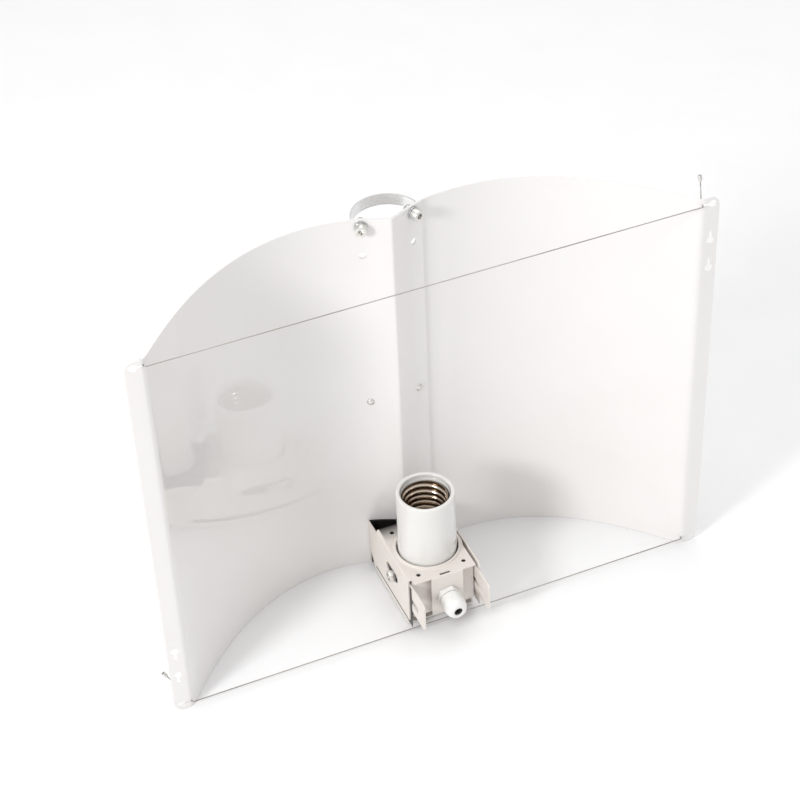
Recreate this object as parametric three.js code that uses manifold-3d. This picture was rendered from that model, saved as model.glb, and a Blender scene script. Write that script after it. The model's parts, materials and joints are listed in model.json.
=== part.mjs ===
// Twin-wing sheet reflector with a screw-in lampholder on a sliding carriage.
// Millimetres. X runs across the reflector, +Y from its open front to its ridge, +Z up along the lamp.
// Heights are above the lower sheet edge, and depths (Y) are behind the rim, until the last group.
import * as THREE from 'three';
import { mergeVertices } from 'three/addons/utils/BufferGeometryUtils.js';
import Module from 'manifold-3d';

const wasm = await Module();
wasm.setup();

// ---- Driving dimensions ----
const clearance = 0.3;

// Reflector wings
const reflectorHeight = 395;
const foldHalfWidth = 245;
const flangeWidth = 17;
const ridgeDepth = 88.5;
const flankAngle = THREE.MathUtils.degToRad(26);
const rimAngle = THREE.MathUtils.degToRad(50.4);
const wingEase = 1.8;
const flankShare = 0.06;
const sheet = 1;
const lapWidth = 33.5;
const joggleWidth = 26;
const ridgeBend = 3;
const rimBend = 8;
const flangeCorner = 9;
const keyholeInset = 10;
const keyholeHeight = 6.5;
const keyholeRadius = 3.5;
const keyholeSlot = 2.6;
const keyholeReach = 9;
const spareKeyholes = [44, 73];

// Ridge hardware
const topBoltX = 23.7;
const baseBoltX = 20.6;
const ridgeBoltInset = 7;
const topHoleX = 23.7;
const bracketScrewX = 22.5;
const spareHoleInset = 37;
const boltRadius = 3;
const boltHead = 5.2;
const boltHeadHeight = 6.5;
const lowHeadHeight = 3.5;
const washerRadius = 6;
const washerThickness = 1.4;
const nutWidth = 9;
const nutHeight = 3.2;
const rivetX = 23.7;
const rivetRadius = 1.6;
const rivetHead = 3.3;
const strapWidth = 10.5;
const strapThickness = 1.5;
const archRadius = 30;
const archDepth = 131;
const strapFootEnd = 6.5;

// Tie wires; a free tail's points are how far out, back and up they lie from the wire's hole
const wireRadius = 0.65;
const wireBend = 2.2;
const wireAnchor = 8;
const ferruleRadius = 1.8;
const ferruleLength = 5;
const topTail = [[0, 3, 0.5], [2.5, 9, 4.5], [4, 13, 12.5], [4, 15, 20.5]];
const bottomTail = [[0, 3, 0.5], [3, 9, 5.5], [11, 14, 16.5], [18, 17, 27.5]];

// Porcelain lampholder
const lampY = 37.1;
const rimHeight = 131.8;
const rimRadius = 26.7;
const mouthRadius = 22.9;
const skirtRadius = 27.4;
const skirtGap = 0.7;
const footRadius = 22.5;
const cavityRadius = 19;
const porcelainBottom = 34;
const seatFlange = skirtRadius + 1;
const floorTop = 78;
const floorThickness = 6;
const collarHeight = 2;
const collarWall = 1.2;
const threadPitch = 6.35;
const threadRadius = 18.9;
const threadDepth = 0.9;
const threadTurns = 7;
const shellWall = 0.6;
const contactRadius = 7;
const contactTop = 90;
const stemRadius = 2.6;
const springRadius = 5;
const springWire = 0.6;
const springTurns = 4;
const shellLip = 11;
const shellMouth = 21.5;
const shellRivetY = 14;
const rivetHole = 1.9;
const terminalY = 13;
const terminalHeight = 11;
const terminalScrew = 1.5;

// Mounting bracket
const bracketSheet = 1.5;
const plateHalfWidth = skirtRadius + skirtGap + collarWall + 0.9;
const armGap = plateHalfWidth + 0.7;
const armReach = 29;
const armBottom = 28;
const armTop = 58;
const bracketTop = 54.5;
const bracketBottom = 1.5;
const bracketFront = 10;
const baseBack = 84;
const slotSlack = 1;
const forwardTravel = 50;
const backwardTravel = 8;

// Lampholder carriage
const plateTop = 63.6;
const plateSheet = 1.2;
const boxFront = lampY - seatFlange - 6.2;
const plateFront = boxFront - 6;
const plateBack = 76.6;
const cheekBottom = 13;
const cheekBack = 88;
const cheekShoulder = 44;
const leftCheekFront = 3;
const rightCheekFront = -5;
const rightCheekRise = 1.4;
const cheekSlotLength = 22;
const plateHoleX = 22.3;
const plateHoleY = 30.6;
const plateHoleRadius = 2.1;
const flapLeft = -14;
const flapRight = 17;
const flapBottom = 18;
const boxBack = 75.2;
const boxSheet = 1.2;
const clampY = 38;
const clampZ = 40;
const clampWasher = 1;
const clampWasherRadius = 5.6;
const clampNutHeight = 4;
const clampNutWidth = 11;
const tabHalf = 7;
const tabReach = 10;
const coverScrewRadius = 1.5;
const earthX = 16;
const earthZ = 30;
const earthRadius = 2;
const cradleSheet = 1.5;
const cradleHalf = 9;
const cradleTop = 50;

// Cable gland
const glandX = 1.5;
const glandZ = 38;
const glandThread = 7.9;
const glandBore = 4.6;
const glandHex = 20;
const glandTilt = THREE.MathUtils.degToRad(10);
const glandLength = 24.3;
const glandCollar = 4.8;
const glandSpigot = 14;
const glandLocknut = 3.5;
const capRadius = 10.9;
const capBore = 4;

// ---- Materials ----
function finish(color, roughness, metalness) {
  return new THREE.MeshStandardMaterial({ color, roughness, metalness });
}
const whiteCoat = finish(0xf4f4f2, 0.25, 0.0);
const beigeSteel = finish(0xd8cec4, 0.45, 0.2);
const zinc = finish(0xc9ccce, 0.35, 0.9);
const porcelain = finish(0xf3f1ea, 0.15, 0.0);
const nickel = finish(0xcbb899, 0.3, 1.0);
const brass = finish(0xc9a55c, 0.35, 1.0);
const whitePlastic = finish(0xf2f1ec, 0.4, 0.0);
const rubber = finish(0x2b2b2b, 0.9, 0.0);
const wireSteel = finish(0x8d8f92, 0.4, 0.9);

// ---- Solid helpers ----
function toSolid(geometry) {
  const bare = geometry.clone();
  bare.deleteAttribute('normal');
  bare.deleteAttribute('uv');
  const merged = mergeVertices(bare, 1e-4);
  const vertProperties = new Float32Array(merged.attributes.position.array);
  const triVerts = new Uint32Array(merged.index.array);
  return new wasm.Manifold(new wasm.Mesh({ numProp: 3, vertProperties, triVerts }));
}

function toGeometry(solid) {
  const result = solid.getMesh();
  const geometry = new THREE.BufferGeometry();
  geometry.setAttribute('position', new THREE.BufferAttribute(new Float32Array(result.vertProperties), 3));
  geometry.setIndex(new THREE.BufferAttribute(new Uint32Array(result.triVerts), 1));
  return geometry;
}

const join = (...parts) => toGeometry(parts.map(toSolid).reduce((all, part) => all.add(part)));

const subtracted = (rest, cutter) => rest.subtract(cutter);
const cut = (body, ...cutters) => toGeometry(cutters.map(toSolid).reduce(subtracted, toSolid(body)));

function slab(x0, x1, y0, y1, z0, z1) {
  const geometry = new THREE.BoxGeometry(x1 - x0, y1 - y0, z1 - z0);
  return geometry.translate((x0 + x1) / 2, (y0 + y1) / 2, (z0 + z1) / 2);
}

// A body turned about Z from [radius, height] pairs going up the outside, closed on the axis or on itself.
function turned(profile, segments = 14) {
  const points = profile.map(([radius, height]) => new THREE.Vector2(radius, height));
  const onAxis = profile[0][0] === 0 && profile.at(-1)[0] === 0;
  if (!onAxis) points.push(points[0].clone());
  return new THREE.LatheGeometry(points, segments).rotateX(Math.PI / 2);
}

const rod = (radius, z0, z1, segments = 12) => turned([[0, z0], [radius, z0], [radius, z1], [0, z1]], segments);

const ring = (inner, outer, z0, z1, segments = 14) =>
  turned([[inner, z0], [outer, z0], [outer, z1], [inner, z1]], segments);

// A hexagonal prism about Z, width measured across its flats.
function hexagon(width, z0, z1) {
  return rod(width / Math.sqrt(3), z0, z1, 6);
}

// Extrudes an outline in XY from z0 to z1.
function prism(points, z0, z1) {
  const shape = new THREE.Shape(points);
  return new THREE.ExtrudeGeometry(shape, { depth: z1 - z0, bevelEnabled: false }).translate(0, 0, z0);
}

// Extrudes an outline of [depth, height] pairs across X from x0 to x1.
function sidePlate(outline, x0, x1) {
  const points = outline.map(([y, z]) => new THREE.Vector2(y, z));
  const turn = new THREE.Matrix4().set(0, 0, 1, 0, 1, 0, 0, 0, 0, 1, 0, 0, 0, 0, 0, 1);
  return prism(points, x0, x1).applyMatrix4(turn);
}

// A round-ended slot along X, about the origin.
function slotPrism(length, width, z0, z1) {
  const half = (length - width) / 2;
  const shape = new THREE.Shape();
  shape.absarc(half, 0, width / 2, -Math.PI / 2, Math.PI / 2);
  shape.absarc(-half, 0, width / 2, Math.PI / 2, Math.PI * 1.5);
  return prism(shape.getPoints(4), z0, z1);
}

const aboutX = (geometry, x, y, z) => geometry.rotateY(Math.PI / 2).translate(x, y, z);
const aboutY = (geometry, x, y, z) => geometry.rotateX(Math.PI / 2).translate(x, y, z);

// ---- Sheet sections ----
// Replaces the corner at index i with an arc of the given radius.
function roundCorner(points, i, radius, steps = 5) {
  const [before, corner, after] = [points[i - 1], points[i], points[i + 1]];
  const back = before.clone().sub(corner).normalize();
  const ahead = after.clone().sub(corner).normalize();
  const half = back.angleTo(ahead) / 2;
  const centre = back.clone().add(ahead).normalize().multiplyScalar(radius / Math.sin(half)).add(corner);
  const start = back.multiplyScalar(radius / Math.tan(half)).add(corner).sub(centre);
  const end = ahead.multiplyScalar(radius / Math.tan(half)).add(corner).sub(centre);
  const sweep = Math.atan2(start.cross(end), start.dot(end));
  const arc = Array.from({ length: steps + 1 }, (_, k) =>
    start.clone().rotateAround(new THREE.Vector2(), (sweep * k) / steps).add(centre));
  return [...points.slice(0, i), ...arc, ...points.slice(i + 1)];
}

// Moves each point of a path sideways; positive is to the left of its direction of travel.
function offsetPath(path, distance) {
  const amount = (i) => (typeof distance === 'function' ? distance(path[i]) : distance);
  return path.map((point, i) => {
    const into = point.clone().sub(path[Math.max(i - 1, 0)]).normalize();
    const out = path[Math.min(i + 1, path.length - 1)].clone().sub(point).normalize();
    const along = into.clone().add(out).normalize();
    const miter = 1 / Math.max(along.dot(i > 0 ? into : out), 0.5);
    return new THREE.Vector2(-along.y, along.x).multiplyScalar(amount(i) * miter).add(point);
  });
}

// A ribbon of sheet between two offsets of one path, standing from z0 to z1.
function ribbon(path, from, to, z0, z1) {
  return prism([...offsetPath(path, from), ...offsetPath(path, to).reverse()], z0, z1);
}

// The wing's section from the ridge crest to the rim fold. Its tangent angle holds along the flank,
// then falls from flankAngle to -rimAngle as 1 - (1 - u)^wingEase; both axes are scaled to size.
function wingSection(steps = 240) {
  const raw = [new THREE.Vector2()];
  for (let i = 1; i <= steps; i++) {
    const u = Math.max(0, (i - 0.5) / steps - flankShare) / (1 - flankShare);
    const angle = flankAngle - (flankAngle + rimAngle) * (1 - (1 - u) ** wingEase);
    raw.push(new THREE.Vector2(Math.cos(angle), Math.sin(angle)).add(raw[i - 1]));
  }
  const end = raw[steps];
  return raw.map((p) => new THREE.Vector2((p.x * foldHalfWidth) / end.x, ridgeDepth * (1 - p.y / end.y)));
}

const section = wingSection();

// Depth and slope of the section at a distance x from the crest.
function sheetAt(x) {
  const i = section.findIndex((point) => point.x >= x);
  const [a, b] = [section[i - 1], section[i]];
  const share = (x - a.x) / (b.x - a.x);
  return { y: a.y + share * (b.y - a.y), angle: Math.atan2(b.y - a.y, b.x - a.x) };
}

// Places a body built about +Z on a ridge flank, with +Z leaving its front face.
function onFlank(geometry, side, x, z) {
  const { y, angle } = sheetAt(x);
  const outward = new THREE.Vector3(side * Math.sin(angle), -Math.cos(angle), 0);
  const up = new THREE.Vector3(0, 0, 1);
  const across = new THREE.Vector3().crossVectors(up, outward);
  const matrix = new THREE.Matrix4().makeBasis(across, up, outward).setPosition(side * x, y, z);
  return geometry.applyMatrix4(matrix);
}

const lapStep = sheet + clearance;
const sheetBack = -(sheet + lapStep);

// ---- Wings ----
// Every few points of the section are used, closer together near the ridge.
const sectionStep = (point) => (point.x < 50 ? 4 : 12);

// Section points on one flank and wing, out to a distance from the crest.
const sectionTo = (reach) => section.filter((p, i) => i > 0 && i % sectionStep(p) === 0 && p.x < reach - 2);

const mirrored = (path) => path.map((point) => new THREE.Vector2(-point.x, point.y)).reverse();

// Both flanks of the ridge out to a distance on each side, with the crest's bend left sharp.
const flankPath = (left, right) => [
  new THREE.Vector2(-left, sheetAt(left).y),
  ...mirrored(sectionTo(left)),
  new THREE.Vector2(0, ridgeDepth),
  ...sectionTo(right),
];

const bendCrest = (path) => roundCorner(path, path.findIndex((point) => point.x === 0), ridgeBend);

// Front face of a wing from the end of its lap strip, over the crest, to the flange edge on +X.
function wingFace() {
  const points = [...flankPath(lapWidth, foldHalfWidth + 3), new THREE.Vector2(foldHalfWidth + flangeWidth, 0)];
  return bendCrest(roundCorner(points, points.length - 2, rimBend));
}

// The wing beneath drops back by one sheet where it passes behind the other wing.
function lapDrop(point) {
  const t = THREE.MathUtils.clamp((lapWidth + 2 + joggleWidth - point.x) / joggleWidth, 0, 1);
  return lapStep * t * t * (3 - 2 * t);
}

// A keyhole: round hole at the outside, slot towards the wing.
function keyhole(side, z, slotAngle = Math.PI) {
  const slot = slotPrism(keyholeReach + keyholeSlot, keyholeSlot, -5, 5).translate(keyholeReach / 2, 0, 0);
  const hole = join(rod(keyholeRadius, -5, 5, 12), slot.rotateZ(slotAngle)).rotateX(-Math.PI / 2);
  if (side < 0) hole.rotateY(Math.PI);
  return hole.translate(side * (foldHalfWidth + keyholeInset), 0, z);
}

// The scrap left outside a rounded flange corner.
function cornerScrap(side, top) {
  const shape = new THREE.Shape();
  shape.moveTo(1, 1);
  shape.lineTo(-flangeCorner, 1);
  shape.lineTo(-flangeCorner, 0);
  shape.absarc(-flangeCorner, -flangeCorner, flangeCorner, Math.PI / 2, 0, true);
  shape.lineTo(1, -flangeCorner);
  const scrap = prism(shape.getPoints(4), -5, 5).rotateX(Math.PI / 2);
  if (side < 0) scrap.rotateZ(Math.PI);
  if (!top) scrap.rotateY(Math.PI).rotateZ(Math.PI);
  return scrap.translate(side * (foldHalfWidth + flangeWidth), 0, top ? reflectorHeight : 0);
}

// Holes that both wings share on the ridge flanks.
function ridgeHoles(side) {
  const drill = (x, z, radius) => onFlank(rod(radius, -6, 6, 10), side, x, z);
  return [
    drill(baseBoltX, ridgeBoltInset, boltRadius + clearance),
    drill(bracketScrewX, spareHoleInset, boltRadius + clearance),
    drill(rivetX, reflectorHeight / 2, rivetRadius + clearance),
    drill(topHoleX, reflectorHeight - spareHoleInset, boltRadius + clearance),
    drill(topBoltX, reflectorHeight - ridgeBoltInset, boltRadius + clearance),
  ];
}

// side is the side of the wing's flange; the spare keyholes are near one end of each wing.
function wing(side) {
  const face = side > 0 ? offsetPath(wingFace(), lapDrop) : mirrored(wingFace());
  const panel = ribbon(face, 0, sheet, 0, reflectorHeight);
  const spareEnd = (z) => (side > 0 ? reflectorHeight - z : z);
  return cut(
    panel,
    keyhole(side, keyholeHeight),
    keyhole(side, reflectorHeight - keyholeHeight),
    ...spareKeyholes.map((z) => keyhole(side, spareEnd(z), -Math.PI / 2)),
    cornerScrap(side, true),
    cornerScrap(side, false),
    ...ridgeHoles(1),
    ...ridgeHoles(-1),
  );
}

// ---- Ridge hardware ----
function rivet(side) {
  const back = sheetBack - clearance;
  const profile = [
    [0, back - 1.4], [rivetHead * 0.7, back - 1.2], [rivetHead, back], [rivetRadius, back],
    [rivetRadius, clearance], [rivetHead, clearance], [rivetHead * 0.8, clearance + 0.9], [0, clearance + 1.4],
  ];
  return onFlank(turned(profile, 10), side, rivetX, reflectorHeight / 2);
}

const strapFront = sheetBack - clearance;
const strapBack = strapFront - strapThickness;

// A flat strap: a foot on each flank, and a round arch behind the ridge.
function hangerStrap(boltX, z) {
  const behind = -(strapFront + strapBack) / 2;
  const springing = archDepth - archRadius - strapThickness / 2;
  const footAt = (x) => new THREE.Vector2(x, sheetAt(x).y + behind / Math.cos(sheetAt(x).angle));
  const steps = 14;
  const arch = Array.from({ length: steps - 1 }, (_, i) => {
    const turn = Math.PI * (1 - (i + 1) / steps);
    return new THREE.Vector2(archRadius * Math.cos(turn), springing + archRadius * Math.sin(turn));
  });
  const foot = [footAt(archRadius), footAt(boltX - strapFootEnd)];
  const path = [...mirrored(foot), ...arch, ...foot];
  const band = ribbon(path, -strapThickness / 2, strapThickness / 2, z - strapWidth / 2, z + strapWidth / 2);
  const holes = [1, -1].map((side) => onFlank(rod(boltRadius + clearance, -12, 4), side, boltX, z));
  return cut(band, ...holes);
}

const seatHeight = (lift) => lift + clearance + washerThickness + clearance;

// Socket screw through a flank. lift is what lies on the front of the sheet, tail the height of its end.
function flankScrew(side, x, z, lift, tail, headHeight) {
  const seat = seatHeight(lift);
  const top = seat + headHeight;
  const body = turned([
    [0, tail], [boltRadius, tail], [boltRadius, seat], [boltHead, seat],
    [boltHead, top - 0.6], [boltHead - 0.6, top], [0, top],
  ], 12);
  return onFlank(cut(body, hexagon(5, top - headHeight / 2, top + 1)), side, x, z);
}

function flankWasher(side, x, z, lift) {
  const face = lift + clearance;
  return onFlank(ring(boltRadius + clearance, washerRadius, face, face + washerThickness), side, x, z);
}

const nutBlank = (width, z0, z1) => cut(hexagon(width, z0, z1), rod(boltRadius + clearance, z0 - 1, z1 + 1));

function flankNut(side, x, z, back) {
  const top = back - clearance;
  return onFlank(nutBlank(nutWidth, top - nutHeight, top).rotateZ(Math.PI / 6), side, x, z);
}

// ---- Tie wires ----
const wireDepth = -(wireRadius + 2 * clearance);
const wireHoleX = foldHalfWidth + keyholeInset - keyholeReach;

// Tube of wire along a smooth curve through a few points.
function wireTube(points, steps) {
  const curve = new THREE.CatmullRomCurve3(points, false, 'centripetal');
  const corner = new THREE.Vector2(wireRadius, 0);
  const middle = new THREE.Vector2();
  const sides = Array.from({ length: 6 }, (_, i) => corner.clone().rotateAround(middle, (i * Math.PI) / 3));
  return new THREE.ExtrudeGeometry(new THREE.Shape(sides), { steps, extrudePath: curve });
}

// The turn from the open front back through a keyhole's slot, then on through the tail's points.
function wireHook(side, z, tail) {
  const at = (inset, depth) => new THREE.Vector3(side * (wireHoleX - inset), wireDepth + depth, z);
  const points = [at(wireBend + 2, 0), at(wireBend, 0), at(wireBend * 0.3, wireBend * 0.3), at(0, wireBend)];
  return wireTube([...points, ...tail], 6 + 3 * tail.length);
}

const vectors = (points) => points.map((point) => new THREE.Vector3(...point));

const tailPoints = (side, z, steps) => steps.map(([out, back, up]) => [side * (wireHoleX + out), back, z + up]);

const anchorTail = (side, z) => [2, wireAnchor].map((y) => new THREE.Vector3(side * wireHoleX, y, z));

// The wire is anchored by a ferrule behind one flange, and its tail stands out behind the other.
function tieWire(tailSide, z, tail) {
  const half = wireHoleX - wireBend;
  const run = rod(wireRadius, -half, half, 6).rotateY(Math.PI / 2).translate(0, wireDepth, z);
  return join(run, wireHook(-tailSide, z, anchorTail(-tailSide, z)), wireHook(tailSide, z, vectors(tail)));
}

const ferrule = () => ring(wireRadius + 1.5 * clearance, ferruleRadius, -ferruleLength / 2, ferruleLength / 2, 12);

const anchorFerrule = (side, z) => aboutY(ferrule(), side * wireHoleX, wireAnchor - ferruleLength / 2, z);

// A ferrule on the last stretch of a tail.
function tailFerrule(tail) {
  const [before, end] = vectors(tail.slice(-2));
  const along = end.clone().sub(before).normalize();
  const turn = new THREE.Quaternion().setFromUnitVectors(new THREE.Vector3(0, 0, 1), along);
  const centre = end.clone().addScaledVector(along, -ferruleLength / 2 + 0.5);
  return ferrule().applyQuaternion(turn).translate(...centre.toArray());
}

// ---- Mounting bracket ----
const armOuter = armGap + bracketSheet;
const plateLift = clearance + bracketSheet;
const slotHeight = 2 * boltRadius + slotSlack;
const slotStart = clampY - forwardTravel - boltRadius - clearance;
const slotEnd = clampY + backwardTravel + boltRadius + clearance;

// Side arm: tall at the back, where a foot reaches down to the base, and a bar at the front.
function bracketArm(side) {
  const back = sheetAt(armGap).y - clearance - 0.5;
  const outline = [
    [bracketFront, bracketBottom], [back - 13, bracketBottom], [back, armBottom - 6], [back, bracketTop],
    [plateBack, bracketTop], [plateBack - 4, armTop], [-armReach + 2, armTop], [-armReach, armTop - 2],
    [-armReach, armBottom + 2], [-armReach + 2, armBottom], [bracketFront, armBottom],
  ];
  const plate = side > 0 ? sidePlate(outline, armGap, armOuter) : sidePlate(outline, -armOuter, -armGap);
  const slot = aboutX(slotPrism(slotEnd - slotStart, slotHeight, -60, 60).rotateZ(Math.PI / 2), 0, 0, 0);
  return cut(plate, slot.translate(0, (slotStart + slotEnd) / 2, clampZ));
}

function mountingBracket() {
  const path = bendCrest(flankPath(armOuter - 0.2, armOuter - 0.2));
  const back = ribbon(path, -plateLift, -clearance, bracketBottom, bracketTop);
  const base = slab(-armOuter, armOuter, bracketFront, baseBack, bracketBottom, bracketBottom + bracketSheet);
  const drill = (side, x, z) => onFlank(rod(boltRadius + clearance, -3, 8), side, x, z);
  const drills = [1, -1].flatMap((side) => [
    drill(side, baseBoltX, ridgeBoltInset),
    drill(side, bracketScrewX, spareHoleInset),
  ]);
  return cut(join(back, bracketArm(1), bracketArm(-1), base), ...drills);
}

// ---- Sliding carriage ----
const cheekInner = armOuter + clearance;
const cheekOuter = cheekInner + plateSheet;
const plateUnder = plateTop - plateSheet;
const collarRadius = skirtRadius + skirtGap;
const flapFront = plateFront - 1;
const boxHalf = plateHalfWidth;
const boxInner = boxHalf - boxSheet;
const coverTop = flapBottom - clearance;
const clampHole = () => aboutX(rod(boltRadius + clearance, -60, 60), 0, clampY, clampZ);
const glandHole = () => aboutY(rod(glandThread + clearance, -20, 20, 20), glandX, 0, glandZ);

// A cheek's outline; its upper back corner slopes down to the shoulder.
const cheekOutline = (front, top) => [
  [front, cheekBottom], [cheekBack, cheekBottom], [cheekBack, cheekShoulder],
  [plateBack + 1, top - 6], [plateBack, top], [front + 4, top], [front + 1.2, top - 1.2], [front, top - 4],
];

const cheekSlot = (x0, x1) => {
  const slot = slotPrism(cheekSlotLength, 2 * (boltRadius + clearance) + 1.5, x0, x1).rotateZ(Math.PI / 2);
  return aboutX(slot, 0, clampY + 4, clampZ);
};

// Top plate with its collar, front flap and left cheek, folded from one sheet.
function socketSaddle() {
  const plate = slab(-cheekOuter, plateHalfWidth, plateFront, plateBack, plateUnder, plateTop);
  const notch = slab(-cheekOuter - 1, -plateHalfWidth, plateFront - 1, leftCheekFront, plateUnder - 1, plateTop + 1);
  const flap = slab(flapLeft, flapRight, flapFront, flapFront + plateSheet, flapBottom, plateTop);
  const cheek = sidePlate(cheekOutline(leftCheekFront, plateTop), -cheekOuter, -cheekInner);
  const collar = ring(collarRadius - 0.1, collarRadius + collarWall, plateUnder, plateTop + collarHeight, 32);
  const body = join(cut(plate, notch), flap, cheek, collar.translate(0, lampY, 0));
  const corners = [-1, 1].flatMap((side) => [-1, 1].map((end) =>
    rod(plateHoleRadius, 50, 80, 8).translate(side * plateHoleX, lampY - 0.3 + end * plateHoleY, 0)));
  const vent = slotPrism(10, 1.4, 55, 80).translate(0.5, plateFront + 1.8, 0);
  const mouth = rod(collarRadius, 40, 80, 32).translate(0, lampY, 0);
  return cut(body, mouth, ...corners, vent, cheekSlot(-60, 0), glandHole());
}

const rightCheek = () =>
  cut(sidePlate(cheekOutline(rightCheekFront, plateTop + rightCheekRise), cheekInner, cheekOuter), cheekSlot(0, 60));

// Four walls under the top plate, with a tab at front and back for the cover's screws.
function terminalBox() {
  const top = plateUnder - clearance;
  const walls = [
    slab(-boxHalf, -boxInner, boxFront, boxBack, flapBottom, top),
    slab(boxInner, boxHalf, boxFront, boxBack, flapBottom, top),
    slab(-boxHalf, boxHalf, boxFront, boxFront + boxSheet, flapBottom, top),
    slab(-boxHalf, boxHalf, boxBack - boxSheet, boxBack, flapBottom, top),
    slab(-tabHalf, tabHalf, boxFront, boxFront + tabReach, flapBottom, flapBottom + boxSheet),
    slab(-tabHalf, tabHalf, boxBack - tabReach, boxBack, flapBottom, flapBottom + boxSheet),
  ];
  const screwHoles = coverScrewY.map((y) => rod(coverScrewRadius + clearance, 0, 30, 12).translate(0, y, 0));
  const earthHole = aboutY(rod(earthRadius + clearance, -5, 5, 12), earthX, boxBack, earthZ);
  return cut(join(...walls), clampHole(), glandHole(), ...screwHoles, earthHole);
}

const coverScrewY = [boxFront + tabReach - 4, boxBack - tabReach + 4];

function terminalCover() {
  const plate = slab(-boxHalf, boxHalf, boxFront, boxBack, coverTop - boxSheet, coverTop);
  return cut(plate, ...coverScrewY.map((y) => rod(coverScrewRadius + clearance, 0, 30, 12).translate(0, y, 0)));
}

// Pan-head screw about +Z: head below the seat, shank above it.
const panScrew = (radius, head, seat, tip) => turned([
  [0, seat - head * 0.75], [head * 0.8, seat - head * 0.7], [head, seat - head * 0.25], [head, seat],
  [radius, seat], [radius, tip], [0, tip],
], 14);

const coverScrew = (y) => panScrew(coverScrewRadius, 3, coverTop - boxSheet - clearance, flapBottom + 5).translate(0, y, 0);

// Earth screw through the box's back wall, head inside.
function earthScrew() {
  const seat = -(boxSheet + clearance);
  return aboutY(panScrew(earthRadius, 3.6, 0, 6).rotateX(Math.PI), earthX, boxBack + seat, earthZ);
}

const earthNut = () =>
  aboutY(cut(hexagon(7, -2.6, 0), rod(earthRadius + clearance, -4, 1)), earthX, boxBack + clearance, earthZ);

// ---- Clamps ----
const strapEarInner = boxInner - clearance - cradleSheet;

// Coach bolt from inside the box out through the arm and the cheek.
function clampBolt(side) {
  const seat = strapEarInner - clearance;
  const tip = cheekOuter + clearance + clampWasher + clearance + clampNutHeight - 1;
  const body = turned([
    [0, seat - 3], [4, seat - 2.6], [6, seat - 1], [6, seat], [boltRadius, seat], [boltRadius, tip], [0, tip],
  ], 16);
  return aboutX(side > 0 ? body : body.rotateY(Math.PI), 0, clampY, clampZ);
}

function clampRing(side, geometry) {
  return aboutX(side > 0 ? geometry : geometry.rotateY(Math.PI), 0, clampY, clampZ);
}

const washerSeat = cheekOuter + clearance;
const nutSeat = washerSeat + clampWasher + clearance;

const clampWasherBlank = () => ring(boltRadius + clearance, clampWasherRadius, washerSeat, washerSeat + clampWasher);

const clampWasherAt = (side) => clampRing(side, clampWasherBlank());

const clampNutAt = (side) => clampRing(side, nutBlank(clampNutWidth, nutSeat, nutSeat + clampNutHeight));

// U-shaped cradle under the porcelain, held between the box walls and the bolt heads.
function cradle() {
  const web = porcelainBottom - clearance;
  const [y0, y1] = [clampY - cradleHalf, clampY + cradleHalf];
  const outer = strapEarInner + cradleSheet;
  return cut(
    join(
      slab(-outer, outer, y0, y1, web - cradleSheet, web),
      slab(-outer, -strapEarInner, y0, y1, web - cradleSheet, cradleTop),
      slab(strapEarInner, outer, y0, y1, web - cradleSheet, cradleTop),
    ),
    clampHole(),
  );
}

// ---- Lampholder ----
const seatTop = plateUnder - clearance;
const floorUnder = floorTop - floorThickness;
const wellRadius = shellMouth + 0.4;
const shellBottom = floorTop + clearance;

function porcelainBody() {
  const body = turned([
    [cavityRadius, porcelainBottom], [footRadius, porcelainBottom], [footRadius, seatTop - 10], [seatFlange, seatTop - 10],
    [seatFlange, seatTop], [skirtRadius, seatTop], [skirtRadius, plateTop + 4], [rimRadius + 0.2, rimHeight - 12],
    [rimRadius, rimHeight - 1.6], [rimRadius - 0.5, rimHeight - 0.5], [rimRadius - 1.5, rimHeight],
    [mouthRadius + 0.8, rimHeight], [mouthRadius, rimHeight - 0.8], [mouthRadius, rimHeight - 3],
    [wellRadius, rimHeight - 5], [wellRadius, floorTop], [stemRadius + 2 * clearance, floorTop],
    [stemRadius + 2 * clearance, floorUnder], [cavityRadius, floorUnder],
  ], 28);
  return cut(body, rod(rivetHole, 60, 90, 12).translate(0, shellRivetY, 0));
}

// Rolled thread: the wall waves in and out once every pitch, below a flared mouth.
function screwShell() {
  const wave = (offset) => Array.from({ length: 2 * threadTurns }, (_, i) => [
    threadRadius + (i % 2 ? -threadDepth : threadDepth) + offset,
    shellBottom + shellWall + 0.5 + (i * threadPitch) / 2,
  ]);
  const mouth = rimHeight - 5.6;
  const foot = threadRadius + threadDepth;
  const outer = [[shellLip, shellBottom], [foot + shellWall, shellBottom], ...wave(shellWall), [shellMouth, mouth]];
  const inner = [[shellMouth - shellWall, mouth], ...wave(0).reverse()];
  const floor = [[foot, shellBottom + shellWall], [shellLip, shellBottom + shellWall]];
  const shell = turned([...outer, ...inner, ...floor], 20);
  return cut(shell, rod(rivetHole, 60, shellBottom + 2, 12).translate(0, shellRivetY, 0));
}

// Plunger with its head under the lamp's tip and a shoulder that stops it under the floor.
function centreContact() {
  const shoulder = floorUnder - clearance;
  return turned([
    [0, shoulder - 5], [stemRadius, shoulder - 5], [stemRadius, shoulder - 2.5], [4.4, shoulder - 2.5], [4.4, shoulder],
    [stemRadius, shoulder], [stemRadius, contactTop - 3], [contactRadius, contactTop - 3],
    [contactRadius, contactTop - 1.2], [contactRadius - 1.5, contactTop - 0.2], [3, contactTop], [0, contactTop],
  ], 14);
}

class Helix extends THREE.Curve {
  constructor(radius, z0, z1, turns) {
    super();
    Object.assign(this, { radius, z0, z1, turns });
  }

  getPoint(t, target = new THREE.Vector3()) {
    const turn = 2 * Math.PI * this.turns * t;
    return target.set(this.radius * Math.cos(turn), this.radius * Math.sin(turn), this.z0 + (this.z1 - this.z0) * t);
  }
}

const springBottom = floorTop + clearance + springWire;
const springTop = contactTop - 3 - clearance - springWire;

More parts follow.
